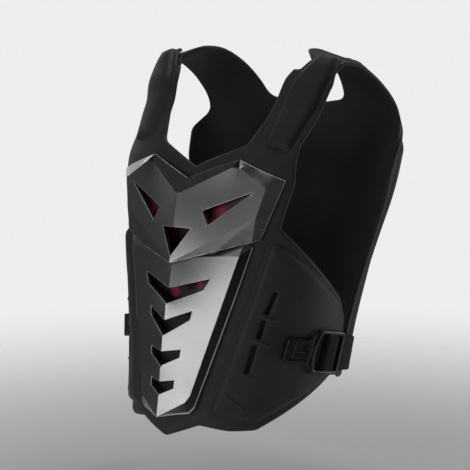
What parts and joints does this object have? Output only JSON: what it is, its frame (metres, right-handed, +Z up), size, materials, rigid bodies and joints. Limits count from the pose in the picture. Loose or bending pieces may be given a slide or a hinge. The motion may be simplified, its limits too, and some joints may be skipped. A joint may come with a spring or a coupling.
{
  "type": "motorcycle armour vest",
  "caption": "Sleeveless armour vest of moulded foam panels with faceted hard chest plates, cut vents with a red lining, and webbing straps with side buckles.",
  "frame": {"origin": "middle of the wearer's shoulder line, on top of the shoulders under the vest's shoulder arms", "axes": "+X to the wearer's left, +Y to the wearer's back, +Z up; the chest faces -Y"},
  "size_m": [0.3714, 0.3573, 0.514],
  "materials": {
    "foam": "matt black fabric laminated on moulded foam",
    "plate": "satin gunmetal grey paint on moulded plastic",
    "lining": "red woven cloth",
    "buckle": "satin black moulded plastic",
    "webbing": "black woven webbing"
  },
  "bodies": {
    "root": {"front_foam_panel": "foam", "back_foam_panel": "foam", "upper_chest_plate": "plate", "lower_chest_plate": "plate", "red_vent_lining": "lining", "left_buckle_frame": "buckle", "left_buckle_socket": "buckle", "left_side_webbing": "webbing", "right_buckle_frame": "buckle", "right_buckle_socket": "buckle", "right_side_webbing": "webbing"}
  },
  "joints": []
}
